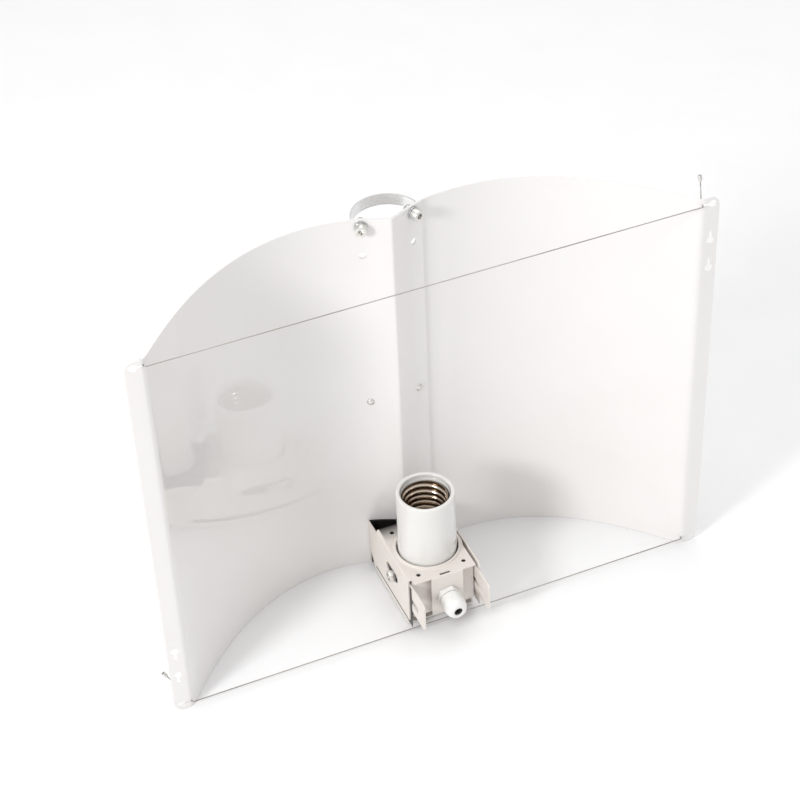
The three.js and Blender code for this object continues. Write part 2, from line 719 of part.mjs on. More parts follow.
function contactSpring() {
  const sides = Array.from({ length: 4 }, (_, i) =>
    new THREE.Vector2(springWire, 0).rotateAround(new THREE.Vector2(), (i * Math.PI) / 2));
  const path = new Helix(springRadius, springBottom, springTop, springTurns);
  return new THREE.ExtrudeGeometry(new THREE.Shape(sides), { steps: springTurns * 10, extrudePath: path });
}

const terminalTop = floorUnder - clearance;
const terminalBottom = terminalTop - terminalHeight;
const terminalScrewX = 4.6;
const terminalScrewY = terminalY - 1;

// Brass block under the floor, with a hole from below for its lead's screw.
function terminal(side) {
  const block = slab(-7.5, 4, -3.5, 3.5, terminalBottom, terminalTop).translate(0, side * terminalY, 0);
  const screwHole = rod(terminalScrew + clearance, terminalBottom - 1, terminalTop - 3, 12);
  return cut(block, screwHole.translate(-terminalScrewX, side * terminalScrewY, 0));
}

const neutralTerminal = () => cut(terminal(1), rod(rivetHole, 50, 90, 12).translate(0, shellRivetY, 0));

const terminalScrewAt = (side) =>
  panScrew(terminalScrew, 2.2, terminalBottom - clearance, terminalTop - 3.5)
    .translate(-terminalScrewX, side * terminalScrewY, 0);

// Stud that ties the shell's lip through the floor to the neutral terminal.
function shellStud() {
  const low = terminalBottom - clearance;
  const high = shellBottom + shellWall + clearance;
  return turned([
    [0, low - 1.3], [2.4, low - 1], [2.4, low], [rivetHole - clearance, low], [rivetHole - clearance, high],
    [2.8, high], [2.2, high + 1], [0, high + 1.2],
  ], 14).translate(0, shellRivetY, 0);
}

// ---- Cable gland, built about +Z with the flap's front face at zero ----
const panelDepth = flapFront - boxFront - boxSheet;

function glandBody() {
  const inner = panelDepth - glandLocknut - 2 * clearance;
  const barrel = ring(glandBore, glandThread, inner, clearance + 0.5, 18);
  const spigot = ring(glandBore, glandThread - 0.7, clearance, glandSpigot, 18);
  const collar = cut(hexagon(glandHex, clearance, clearance + glandCollar), rod(glandBore, -1, 20, 18));
  return join(barrel, spigot, collar);
}

const glandLocknutRing = () => {
  const top = panelDepth - clearance;
  return cut(hexagon(glandHex, top - glandLocknut, top), rod(glandThread + clearance, top - 20, top + 1, 18));
};

const capStart = 2 * clearance + glandCollar;
const capInner = glandThread - 0.7 + clearance;

// Domed nut: a turned dome with six flats, narrowing to the cable's hole.
function glandCap() {
  const neck = glandSpigot + 1.5;
  const dome = turned([
    [capInner, capStart], [capRadius - 1.4, capStart], [capRadius - 0.3, capStart + 2.5],
    [capRadius, glandLength * 0.55], [capRadius - 0.7, glandLength * 0.75], [capRadius - 2, glandLength * 0.9],
    [capRadius - 3.6, glandLength - 0.6], [capRadius - 4.8, glandLength], [capBore, glandLength],
    [capBore, glandLength - 3], [capInner, neck],
  ], 24);
  return toGeometry(toSolid(dome).intersect(toSolid(hexagon(2 * capRadius - 1, 0, 60))));
}

function glandSeal() {
  const start = glandSpigot + clearance;
  const wall = capInner - 0.6;
  return ring(glandBore - 0.4, wall, start, glandSpigot + 1.5);
}

// ---- Assembly ----
const standY = (archDepth - armReach) / 2;
const group = new THREE.Group();
group.position.y = -standY;

const branch = (parent, x = 0, y = 0, z = 0) => {
  const child = new THREE.Group();
  child.position.set(x, y, z);
  parent.add(child);
  return child;
};

function add(parent, name, geometry, material) {
  const mesh = new THREE.Mesh(geometry, material);
  mesh.name = name;
  parent.add(mesh);
}

const sides = [['left', -1], ['right', 1]];
const ends = [['bottom', baseBoltX, ridgeBoltInset], ['top', topBoltX, reflectorHeight - ridgeBoltInset]];

const reflector = branch(group);
for (const [word, side] of sides) {
  add(reflector, `${word}_wing`, wing(side), whiteCoat);
  add(reflector, `ridge_rivet_${word}`, rivet(side), zinc);
}

const tails = {
  top: [1, reflectorHeight - keyholeHeight, topTail],
  bottom: [-1, keyholeHeight, bottomTail],
};
for (const [word, [side, z, steps]] of Object.entries(tails)) {
  const tail = tailPoints(side, z, steps);
  add(reflector, `tie_wire_${word}`, tieWire(side, z, tail), wireSteel);
  add(reflector, `wire_anchor_${word}`, anchorFerrule(-side, z), zinc);
  add(reflector, `wire_ferrule_${word}`, tailFerrule(tail), zinc);
}

const hangers = branch(group);
for (const [word, x, z] of ends) {
  const lift = word === 'bottom' ? plateLift : 0;
  const tail = strapBack - clearance - nutHeight - 1.5;
  add(hangers, `hanger_strap_${word}`, hangerStrap(x, z), zinc);
  for (const [hand, side] of sides) {
    const label = `${word}_${hand}`;
    add(hangers, `hanger_screw_${label}`, flankScrew(side, x, z, lift, tail, boltHeadHeight), zinc);
    add(hangers, `hanger_washer_${label}`, flankWasher(side, x, z, lift), zinc);
    add(hangers, `hanger_nut_${label}`, flankNut(side, x, z, strapBack), zinc);
  }
}

const mounting = branch(group);
add(mounting, 'mounting_bracket', mountingBracket(), beigeSteel);
for (const [hand, side] of sides) {
  const tail = sheetBack - clearance - nutHeight - 1.5;
  const screw = flankScrew(side, bracketScrewX, spareHoleInset, plateLift, tail, lowHeadHeight);
  add(mounting, `bracket_screw_${hand}`, screw, zinc);
  add(mounting, `bracket_nut_${hand}`, flankNut(side, bracketScrewX, spareHoleInset, sheetBack), zinc);
}

const carriage = branch(group);
add(carriage, 'socket_saddle', socketSaddle(), beigeSteel);
add(carriage, 'right_cheek', rightCheek(), beigeSteel);
add(carriage, 'terminal_box', terminalBox(), beigeSteel);
add(carriage, 'terminal_cover', terminalCover(), beigeSteel);
add(carriage, 'porcelain_cradle', cradle(), zinc);
add(carriage, 'cover_screw_front', coverScrew(coverScrewY[0]), zinc);
add(carriage, 'cover_screw_back', coverScrew(coverScrewY[1]), zinc);
add(carriage, 'earth_screw', earthScrew(), brass);
add(carriage, 'earth_nut', earthNut(), brass);
for (const [hand, side] of sides) {
  add(carriage, `clamp_bolt_${hand}`, clampBolt(side), zinc);
  add(carriage, `clamp_washer_${hand}`, clampWasherAt(side), zinc);
  add(carriage, `clamp_nut_${hand}`, clampNutAt(side), zinc);
}

const lampholder = branch(carriage, 0, lampY, 0);
add(lampholder, 'porcelain_body', porcelainBody(), porcelain);
add(lampholder, 'screw_shell', screwShell(), nickel);
add(lampholder, 'centre_contact', centreContact(), brass);
add(lampholder, 'contact_spring', contactSpring(), zinc);
add(lampholder, 'live_terminal', terminal(-1), brass);
add(lampholder, 'neutral_terminal', neutralTerminal(), brass);
add(lampholder, 'live_screw', terminalScrewAt(-1), zinc);
add(lampholder, 'neutral_screw', terminalScrewAt(1), zinc);
add(lampholder, 'shell_stud', shellStud(), brass);

const gland = branch(carriage, glandX, flapFront, glandZ);
gland.rotation.set(Math.PI / 2, 0, glandTilt);
add(gland, 'gland_body', glandBody(), whitePlastic);
add(gland, 'gland_cap', glandCap(), whitePlastic);
add(gland, 'gland_seal', glandSeal(), rubber);
add(gland, 'gland_locknut', glandLocknutRing(), whitePlastic);

export default group;
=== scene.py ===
import json

import bmesh
import bpy
import numpy as np
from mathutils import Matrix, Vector, geometry
from mathutils.kdtree import KDTree


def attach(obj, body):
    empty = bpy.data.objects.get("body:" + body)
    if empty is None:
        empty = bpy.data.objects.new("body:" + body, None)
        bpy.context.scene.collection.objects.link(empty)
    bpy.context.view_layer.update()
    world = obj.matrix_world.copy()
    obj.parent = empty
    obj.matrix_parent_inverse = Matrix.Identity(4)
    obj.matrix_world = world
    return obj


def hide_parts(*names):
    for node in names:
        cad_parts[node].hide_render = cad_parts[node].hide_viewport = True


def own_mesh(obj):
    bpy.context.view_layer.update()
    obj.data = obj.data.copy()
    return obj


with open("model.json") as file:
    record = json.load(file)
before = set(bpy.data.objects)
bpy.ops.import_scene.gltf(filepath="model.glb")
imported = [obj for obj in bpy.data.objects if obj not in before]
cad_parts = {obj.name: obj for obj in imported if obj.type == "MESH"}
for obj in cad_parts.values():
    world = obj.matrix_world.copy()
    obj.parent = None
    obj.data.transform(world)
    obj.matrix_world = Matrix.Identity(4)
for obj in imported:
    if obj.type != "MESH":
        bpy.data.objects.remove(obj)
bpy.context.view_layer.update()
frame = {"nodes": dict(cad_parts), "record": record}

# Sizes in millimetres, in the reflector's own frame: Y is counted from the rim, Z from the lower edge.
MIDDLE = 51.0                  # depth of the shared frame's middle behind the rim
GAP = 0.3                      # clearance between pieces that touch
SHEET = 1.0

HEIGHT = 395.0
FOLD = 245.0                   # middle to rim fold
FLANGE = 17.0                  # rim fold to the flange's edge
FLANGE_CORNER = 9.0
FOLD_RADIUS = 8.0
RIDGE = 88.5                   # depth of the crest behind the rim
CREST_RADIUS = 3.0
FLANK = np.radians(26.0)       # slope of the flanks beside the crest
RIM = np.radians(50.4)         # slope of the wing where it meets the rim fold
LAP = 33.5                     # crest to the end of a wing's overlap
LAP_STEP = SHEET + GAP         # step of the right wing behind the left one
JOGGLE = 26.0                  # length over which that step is made

KEYHOLE_X = FOLD + 10.0
KEYHOLE_Z = 6.5                # end keyholes, from the reflector's ends
KEYHOLE_REACH = 9.0            # middle of the hole to the end of its slot
SPARE_KEYHOLES = (44.0, 73.0)  # from the near end of each wing

BOLT = 3.0                     # radius of every bolt
BOLT_HOLE = BOLT + GAP
# Places on the flanks: distance from the crest, and height.
TOP_BOLT = (23.7, HEIGHT - 7.0)
BOTTOM_BOLT = (20.6, 7.0)
BRACKET_BOLT = (22.5, 37.0)
RIVET = (23.7, HEIGHT / 2)
SPARE_BOLT = (23.7, HEIGHT - 37.0)

STRAP = 1.5                    # thickness of a hanger strap
BRACKET_SHEET = 1.5
WASHER = 1.4
NUT = 3.2
SHANK_PAST = 4.7               # a screw's shank past the last sheet, through its nut
BACK = -(SHEET + LAP_STEP)     # back of both wings, along the normal of the front one
LIFT = GAP + BRACKET_SHEET     # front of the bracket's sheet where it lies on the flanks

PLATE = 63.6                   # top of the carriage's plate
PLATE_SHEET = 1.2
CHEEK = 33.9                   # outer face of each cheek
CHEEK_FOOT = 13.0
CLAMP = (38.0, 40.0)           # Y and Z of the clamp bolts
LAMP = np.array([0.0, 37.1, 0.0])
RIM_TOP = 131.8                # mouth of the porcelain
PITCH = 6.35                   # of the lamp's thread
GLAND = np.array([1.5, -4.5, 38.0])


# ---- Placing and closing meshes ----
def to_frame(points):
    """Millimetres behind the rim become metres in the shared frame."""
    return (np.asarray(points, float) - [0.0, MIDDLE, 0.0]) / 1000.0


def add_piece(name, points, faces, body, slot, material, stands_for=(), sharp=35.0):
    """Makes one mesh object from points in millimetres, merges its poles and turns its faces outwards."""
    mesh = bpy.data.meshes.new(name)
    mesh.from_pydata(to_frame(points), [], [tuple(f) for f in faces])
    work = bmesh.new()
    work.from_mesh(mesh)
    bmesh.ops.remove_doubles(work, verts=work.verts, dist=2e-7)
    bmesh.ops.dissolve_degenerate(work, edges=work.edges, dist=1e-8)
    bmesh.ops.recalc_face_normals(work, faces=work.faces)
    if work.calc_volume(signed=True) < 0:
        bmesh.ops.reverse_faces(work, faces=work.faces)
    work.to_mesh(mesh)
    work.free()
    mesh.polygons.foreach_set("use_smooth", np.ones(len(mesh.polygons), bool))
    mesh.set_sharp_from_angle(angle=np.radians(sharp))
    mesh.materials.append(material)
    piece = bpy.data.objects.new(name, mesh)
    bpy.context.scene.collection.objects.link(piece)
    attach(piece, body)
    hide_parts(*stands_for)
    return piece


def mark(piece, name, points, values):
    """Stores a value per point on a finished piece, matched by place."""
    tree = KDTree(len(points))
    for index, point in enumerate(to_frame(points)):
        tree.insert(point, index)
    tree.balance()
    nearest = [tree.find(vertex.co)[1] for vertex in piece.data.vertices]
    layer = piece.data.attributes.new(name, "FLOAT", "POINT")
    layer.data.foreach_set("value", np.asarray(values, np.float32)[nearest])


def grid_faces(rows, columns, wrap_rows=False):
    """Quads between neighbouring rows of a grid whose columns close on themselves."""
    r = np.arange(rows if wrap_rows else rows - 1)[:, None]
    c = np.arange(columns)[None, :]
    below, above = r * columns, ((r + 1) % rows) * columns
    nxt = (c + 1) % columns
    quads = np.stack(np.broadcast_arrays(below + c, below + nxt, above + nxt, above + c), -1)
    return quads.reshape(-1, 4).tolist()


def softened(corners, radius, steps=4):
    """A polyline whose inner corners are quadratic curves: (1-t)^2 a + 2t(1-t) corner + t^2 b."""
    corners = np.asarray(corners, float)
    into, out = corners[1:-1] - corners[:-2], corners[2:] - corners[1:-1]
    length_in, length_out = np.linalg.norm(into, axis=1), np.linalg.norm(out, axis=1)
    reach = np.minimum(radius, 0.45 * np.minimum(length_in, length_out))[:, None]
    a = corners[1:-1] - into / length_in[:, None] * reach
    b = corners[1:-1] + out / length_out[:, None] * reach
    t = np.linspace(0, 1, steps + 1)[None, :, None]
    curve = (1 - t) ** 2 * a[:, None] + 2 * t * (1 - t) * corners[1:-1][:, None] + t ** 2 * b[:, None]
    return np.vstack([corners[:1], curve.reshape(-1, corners.shape[1]), corners[-1:]])


def turned(profile, segments=64, closed=False, shape=None):
    """Turns [radius, height] rows about Z; shape(radius, height, angle) may change each radius."""
    profile = np.asarray(profile, float)
    angle = np.linspace(0, 2 * np.pi, segments, endpoint=False)[None, :]
    radius, height = np.broadcast_arrays(profile[:, :1], profile[:, 1:] + 0 * angle)
    if shape is not None:
        radius = shape(radius, height, angle)
    points = np.stack([radius * np.cos(angle), radius * np.sin(angle), height], -1)
    return points.reshape(-1, 3), grid_faces(len(profile), segments, closed)


def six_flats(width, phase=0.0):
    """Radius limit of a hexagon: half its width over the cosine of the angle from the nearest flat."""
    def limit(radius, height, angle):
        turn = (angle - phase + np.pi / 6) % (np.pi / 3) - np.pi / 6
        return np.minimum(radius, width / 2 / np.cos(turn))
    return limit


def swept(path, across, up, outline):
    """Carries a closed outline along a path on two unit vectors per point, and closes both ends."""
    path, outline = np.asarray(path, float), np.asarray(outline, float)
    ring = outline[None, :, :1] * across[:, None] + outline[None, :, 1:] * up[:, None]
    points = (path[:, None] + ring).reshape(-1, 3)
    count = len(outline)
    faces = grid_faces(len(path), count)
    faces.append(list(range(count))[::-1])
    faces.append(list(range((len(path) - 1) * count, len(path) * count)))
    return points, faces


def based(points, origin, outward, up=(0.0, 0.0, 1.0)):
    """Stands a body built about +Z on an origin with +Z along outward and +Y near up."""
    outward = np.asarray(outward, float) / np.linalg.norm(outward)
    side = np.cross(up, outward)
    side /= np.linalg.norm(side)
    basis = np.stack([side, np.cross(outward, side), outward])
    return points @ basis + np.asarray(origin, float)


def inside(points, loops):
    """Even-odd test of points against closed loops, by counting the edges crossed towards +X."""
    count = np.zeros(len(points), int)
    for loop in loops:
        a, b = loop, np.roll(loop, -1, axis=0)
        spans = (a[None, :, 1] > points[:, None, 1]) != (b[None, :, 1] > points[:, None, 1])
        rise = np.where(b[:, 1] == a[:, 1], 1.0, b[:, 1] - a[:, 1])
        x = a[None, :, 0] + (points[:, None, 1] - a[None, :, 1]) * ((b[:, 0] - a[:, 0]) / rise)[None, :]
        count += (spans & (points[:, None, 0] < x)).sum(1)
    return count % 2 == 1


def sheet_metal(loops, creases, place, thickness):
    """Cuts a flat pattern along its loops, creases it, and places it as front + normal * thickness.

    place(u, v) gives the front points and the unit normals into the sheet."""
    loops = [np.asarray(loop, float) for loop in loops]
    starts = np.cumsum([0] + [len(loop) for loop in loops])
    edges = [(s + i, s + (i + 1) % len(loop)) for s, loop in zip(starts, loops) for i in range(len(loop))]
    ends = np.asarray(creases, float).reshape(-1, 2)
    edges += [(starts[-1] + i, starts[-1] + i + 1) for i in range(0, len(ends), 2)]
    flat = [Vector(p) for p in np.vstack(loops + [ends])]
    made = geometry.delaunay_2d_cdt(flat, [(int(a), int(b)) for a, b in edges], [], 0, 1e-5)
    uv = np.array([tuple(p) for p in made[0]])
    triangles = np.array(made[2])
    triangles = triangles[inside(uv[triangles].mean(1), loops)]
    a, b, c = uv[triangles].transpose(1, 0, 2)
    area = (b[:, 0] - a[:, 0]) * (c[:, 1] - a[:, 1]) - (b[:, 1] - a[:, 1]) * (c[:, 0] - a[:, 0])
    triangles[area < 0] = triangles[area < 0][:, ::-1]
    used, triangles = np.unique(triangles, return_inverse=True)
    triangles = triangles.reshape(-1, 3)
    front, normal = place(*uv[used].T)
    sides = np.vstack([triangles[:, [0, 1]], triangles[:, [1, 2]], triangles[:, [2, 0]]])
    _, index, number = np.unique(np.sort(sides, 1), axis=0, return_index=True, return_counts=True)
    rim = sides[index[number == 1]]
    n = len(front)
    walls = np.stack([rim[:, 1], rim[:, 0], rim[:, 0] + n, rim[:, 1] + n], 1)
    faces = triangles.tolist() + (triangles[:, ::-1] + n).tolist() + walls.tolist()
    return np.vstack([front, front + normal * thickness]), faces


def circle(x, y, radius, count=32):
    """A closed loop of evenly turned points."""
    angle = np.linspace(0, 2 * np.pi, count, endpoint=False)
    return np.stack([x + radius * np.cos(angle), y + radius * np.sin(angle)], 1)


def slot_loop(x, y, length, width, turn=0.0, count=12):
    """A round-ended slot about (x, y), its length turned from +X."""
    angle = np.linspace(-np.pi / 2, np.pi / 2, count)
    end = np.stack([width / 2 * np.cos(angle) + (length - width) / 2, width / 2 * np.sin(angle)], 1)
    loop = np.vstack([end, -end])
    c, s = np.cos(turn), np.sin(turn)
    return loop @ np.array([[c, s], [-s, c]]) + [x, y]


def rounded_loop(corners, radius, steps=6):
    """A closed outline with each corner softened."""
    corners = np.asarray(corners, float)
    start = (corners[0] + corners[-1]) / 2
    return softened(np.vstack([start, corners, start]), radius, steps)[:-1]


# ---- Finishes ----
def node_material(name, **sockets):
    """A material with constants on its shader's own sockets, and its object coordinates."""
    material = bpy.data.materials.new(name)
    material.use_nodes = True
    nodes, links = material.node_tree.nodes, material.node_tree.links
    shader = nodes["Principled BSDF"]
    for socket, value in sockets.items():
        shader.inputs[socket.replace("_", " ")].default_value = value
    place = nodes.new("ShaderNodeTexCoord")
    return material, nodes, links, shader, place.outputs["Object"]


def noise(nodes, links, vector, scale, detail=3.0, stretch=None):
    """Noise on object coordinates, in lumps per metre, drawn out along the smaller factors of stretch."""
    if stretch is not None:
        mapping = nodes.new("ShaderNodeMapping")
        mapping.inputs["Scale"].default_value = stretch
        links.new(vector, mapping.inputs["Vector"])
        vector = mapping.outputs["Vector"]
    texture = nodes.new("ShaderNodeTexNoise")
    texture.inputs["Scale"].default_value = scale
    texture.inputs["Detail"].default_value = detail
    links.new(vector, texture.inputs["Vector"])
    return texture.outputs["Fac"]


def spread(nodes, links, value, low, high, start=0.3, end=0.7):
    """Maps a noise onto a range of values."""
    ramp = nodes.new("ShaderNodeMapRange")
    ramp.inputs["From Min"].default_value = start
    ramp.inputs["From Max"].default_value = end
    ramp.inputs["To Min"].default_value = low
    ramp.inputs["To Max"].default_value = high
    links.new(value, ramp.inputs["Value"])
    return ramp.outputs["Result"]


def tinted(nodes, links, value, dark, light, start=0.3, end=0.7):
    """Blends two colours as a noise goes from start to end."""
    ramp = nodes.new("ShaderNodeValToRGB")
    ramp.color_ramp.elements[0].position = start
    ramp.color_ramp.elements[0].color = (*dark, 1.0)
    ramp.color_ramp.elements[1].position = end
    ramp.color_ramp.elements[1].color = (*light, 1.0)
    links.new(value, ramp.inputs["Fac"])
    return ramp.outputs["Color"]


def bumped(nodes, links, shader, height, distance):
    """Tilts a shader's surface by a noise whose full height is the distance in metres."""
    bump = nodes.new("ShaderNodeBump")
    bump.inputs["Strength"].default_value = 1.0
    bump.inputs["Distance"].default_value = distance
    links.new(height, bump.inputs["Height"])
    links.new(bump.outputs["Normal"], shader.inputs["Normal"])


def coated(name, dark, light, rough, peel, coat=0.0, coat_rough=0.05, cloud=14.0, peel_scale=900.0):
    """A coat with slow clouding in its colour and a fine peel in its surface."""
    material, nodes, links, shader, place = node_material(name, Coat_Weight=coat, Coat_Roughness=coat_rough)
    clouds = noise(nodes, links, place, cloud, 4.0)
    links.new(tinted(nodes, links, clouds, dark, light), shader.inputs["Base Color"])
    links.new(spread(nodes, links, noise(nodes, links, place, 60.0), *rough), shader.inputs["Roughness"])
    bumped(nodes, links, shader, noise(nodes, links, place, peel_scale, 2.0), peel)
    return material


def brushed(name, dark, light, rough, stretch=(1.0, 1.0, 1.0), scratch=0.00002):
    """Metal with streaks in its colour and a cloudy sheen; stretch draws the streaks out along one way."""
    material, nodes, links, shader, place = node_material(name, Metallic=1.0)
    streaks = noise(nodes, links, place, 260.0, 5.0, stretch)
    clouds = noise(nodes, links, place, 35.0)
    links.new(tinted(nodes, links, streaks, dark, light), shader.inputs["Base Color"])
    links.new(spread(nodes, links, clouds, *rough), shader.inputs["Roughness"])
    bumped(nodes, links, shader, streaks, scratch)
    return material


def shell_finish():
    """Nickelled brass whose thread grooves are painted dark brown as painted shade; the crests keep the light
    metal colour.
    """
    material, nodes, links, shader, place = node_material("nickelled_brass", Metallic=1.0)
    painted_groove_shade = nodes.new("ShaderNodeAttribute")
    painted_groove_shade.attribute_name = "painted_groove_shade"
    # painted shade: dark brown deep in the thread's grooves, the light metal colour on the crests
    color = tinted(nodes, links, painted_groove_shade.outputs["Fac"], (0.80, 0.70, 0.60), (0.10, 0.058, 0.032), 0.25, 0.72)
    links.new(color, shader.inputs["Base Color"])
    spots = noise(nodes, links, place, 320.0, 4.0)
    links.new(spread(nodes, links, spots, 0.12, 0.22), shader.inputs["Roughness"])
    bumped(nodes, links, shader, spots, 0.00002)
    return material


def worked(nodes, links, operation, *values):
    """One step of arithmetic on values that are sockets or plain numbers."""
    step = nodes.new("ShaderNodeMath")
    step.operation = operation
    for socket, value in zip(step.inputs, values):
        if isinstance(value, float):
            socket.default_value = value
        else:
            links.new(value, socket)
    return step.outputs["Value"]


def coat_with_painted_shade():
    """Beige coat with painted shade: the hollow behind the carriage and the black shade sheets are painted
    near black.

    The painted shade in the hollow is told by its place: between the arms, darkening from the plate's middle
    to its back edge.
    Its limits are in metres in the shared frame."""
    between_arms, plate_middle, plate_back = 0.0316, 0.006, 0.0255
    material = coated("bracket_coat", (0.70, 0.65, 0.605), (0.745, 0.70, 0.655), (0.36, 0.5), 0.00002,
                      coat=0.15, coat_rough=0.25)
    nodes, links = material.node_tree.nodes, material.node_tree.links
    shader = nodes["Principled BSDF"]
    beige = shader.inputs["Base Color"].links[0].from_socket
    shade_sheet_flag = nodes.new("ShaderNodeAttribute")
    shade_sheet_flag.attribute_name = "shade_sheet_flag"
    place = nodes.new("ShaderNodeTexCoord")
    parts = nodes.new("ShaderNodeSeparateXYZ")
    links.new(place.outputs["Object"], parts.inputs["Vector"])
    # painted shade in the hollow behind the carriage, darkening towards the plate's back edge
    width = worked(nodes, links, "ABSOLUTE", parts.outputs["X"])
    inner = worked(nodes, links, "LESS_THAN", width, between_arms)
    behind = spread(nodes, links, parts.outputs["Y"], 0.0, 1.0, plate_middle, plate_back)
    painted_hollow_shade = worked(nodes, links, "MULTIPLY", inner, behind)
    painted_shade_mask = worked(nodes, links, "MAXIMUM", painted_hollow_shade, shade_sheet_flag.outputs["Fac"])
    mix = nodes.new("ShaderNodeMix")
    mix.data_type = "RGBA"
    first_color, second_color, mixed_color = mix.inputs[6], mix.inputs[7], mix.outputs[2]
    links.new(painted_shade_mask, mix.inputs["Factor"])
    links.new(beige, first_color)
    # painted shade: near-black colour laid on the hollow and on the shade sheets
    second_color.default_value = (0.012, 0.011, 0.01, 1.0)
    links.new(mixed_color, shader.inputs["Base Color"])
    return material


white_coat = coated("white_powder_coat", (0.785, 0.767, 0.75), (0.80, 0.783, 0.768), (0.3, 0.34), 0.000001,
                    coat=1.0, coat_rough=0.03)
white_shader = white_coat.node_tree.nodes["Principled BSDF"]
white_shader.inputs["Specular IOR Level"].default_value = 0.2
white_shader.inputs["Coat IOR"].default_value = 1.6
bracket_coat = coat_with_painted_shade()
glaze = coated("porcelain_glaze", (0.70, 0.69, 0.665), (0.73, 0.72, 0.7), (0.1, 0.16), 0.00003,
               coat=1.0, coat_rough=0.04, cloud=22.0, peel_scale=120.0)
moulded_white = coated("moulded_plastic", (0.76, 0.755, 0.735), (0.79, 0.785, 0.77), (0.28, 0.38), 0.00001)
dark_rubber = coated("gland_rubber", (0.02, 0.02, 0.02), (0.04, 0.04, 0.04), (0.7, 0.85), 0.00002)
zinc_plate = brushed("zinc_plate", (0.48, 0.49, 0.5), (0.66, 0.67, 0.68), (0.22, 0.36), scratch=0.00001)
pale_zinc = brushed("pale_zinc", (0.66, 0.65, 0.62), (0.78, 0.77, 0.74), (0.25, 0.4), scratch=0.00001)
strap_steel = brushed("strap_steel", (0.76, 0.76, 0.755), (0.92, 0.92, 0.915), (0.22, 0.32),
                      stretch=(0.12, 0.12, 1.0))
wire_steel = brushed("wire_steel", (0.30, 0.28, 0.26), (0.5, 0.475, 0.45), (0.3, 0.42),
                     stretch=(0.05, 1.0, 1.0))
warm_brass = brushed("brass_parts", (0.45, 0.32, 0.15), (0.62, 0.46, 0.24), (0.25, 0.4))
nickelled_brass = shell_finish()

finish_of_slot = {
    "white_coat": white_coat, "beige_steel": bracket_coat, "zinc": zinc_plate, "wire_steel": wire_steel,
    "brass": warm_brass, "porcelain": glaze, "nickel": nickelled_brass, "white_plastic": moulded_white,
    "rubber": dark_rubber,
}
slot_of_node = {s["node"]: s["material_slot"] for s in frame["record"]["subparts"]}
for node, cad_object in frame["nodes"].items():
    cad_object.data.materials.clear()
    cad_object.data.materials.append(finish_of_slot[slot_of_node[node]])


# ---- Reflector ----
def section_curve(steps=960):
    """Flank and wing from the crest to the rim fold.

    The tangent angle holds along the flank, then falls from FLANK to -RIM as 1 - (1 - u)^1.8."""
    straight = 0.06
    u = np.clip((np.arange(steps) + 0.5) / steps - straight, 0, None) / (1 - straight)
    angle = FLANK - (FLANK + RIM) * (1 - (1 - u) ** 1.8)
    x = np.concatenate([[0], np.cumsum(np.cos(angle))])
    y = np.concatenate([[0], np.cumsum(np.sin(angle))])
    return x * FOLD / x[-1], RIDGE * (1 - y / y[-1])


SECTION_X, SECTION_Y = section_curve()


def depth_at(x):
    """Depth of the reflector's front behind the rim."""
    return np.interp(np.abs(x), SECTION_X, SECTION_Y)


def slope_at(x):
    """Angle of the reflector's front, by the difference over one millimetre."""
    return np.arctan2(depth_at(x + 0.5) - depth_at(x - 0.5), 1.0)


def wing_front(drop):
    """Front face of a wing, from its lap end on -X to its flange's edge, as x, y and arc length.

    The crest and the rim fold are arcs; drop(x) moves the sheet back behind its lap."""
    x = np.concatenate([np.linspace(-LAP, -1.6, 24), np.linspace(-1.4, 1.4, 9), np.linspace(1.6, 240.0, 170)])
    crest = RIDGE + CREST_RADIUS / np.cos(FLANK) - np.sqrt(np.maximum(CREST_RADIUS ** 2 - x ** 2, 0))
    y = np.where(np.abs(x) < CREST_RADIUS * np.sin(FLANK), crest, depth_at(x))
    turn = np.linspace(-RIM, 0, 12)
    bend_x = FOLD + FOLD_RADIUS * (np.tan(RIM / 2) + np.sin(turn))
    bend_y = FOLD_RADIUS * (1 - np.cos(turn))
    x = np.concatenate([x[x < bend_x[0] - 1], bend_x, [FOLD + FLANGE]])
    y = np.concatenate([y[: len(x) - len(bend_x) - 1], bend_y, [0.0]])
    tangent = np.gradient(np.stack([x, y], 1), axis=0)
    tangent /= np.linalg.norm(tangent, axis=1)[:, None]
    x, y = x - tangent[:, 1] * drop(x), y + tangent[:, 0] * drop(x)
    length = np.concatenate([[0], np.cumsum(np.hypot(np.diff(x), np.diff(y)))])
    return x, y, length


def keyhole(x, z, turn):
    """Round hole with a round-ended slot running out of it; they meet at half_mouth either side."""
    hole_radius, slot_radius, half_mouth = 3.5, 1.3, 0.38
    angle = np.linspace(half_mouth, 2 * np.pi - half_mouth, 28)
    hole = hole_radius * np.stack([np.cos(angle), np.sin(angle)], 1)
    tip = np.linspace(-np.pi / 2, np.pi / 2, 9)
    slot = np.stack([KEYHOLE_REACH + slot_radius * np.cos(tip), slot_radius * np.sin(tip)], 1)
    c, s = np.cos(turn), np.sin(turn)
    return np.vstack([hole, slot]) @ np.array([[c, s], [-s, c]]) + [x, z]


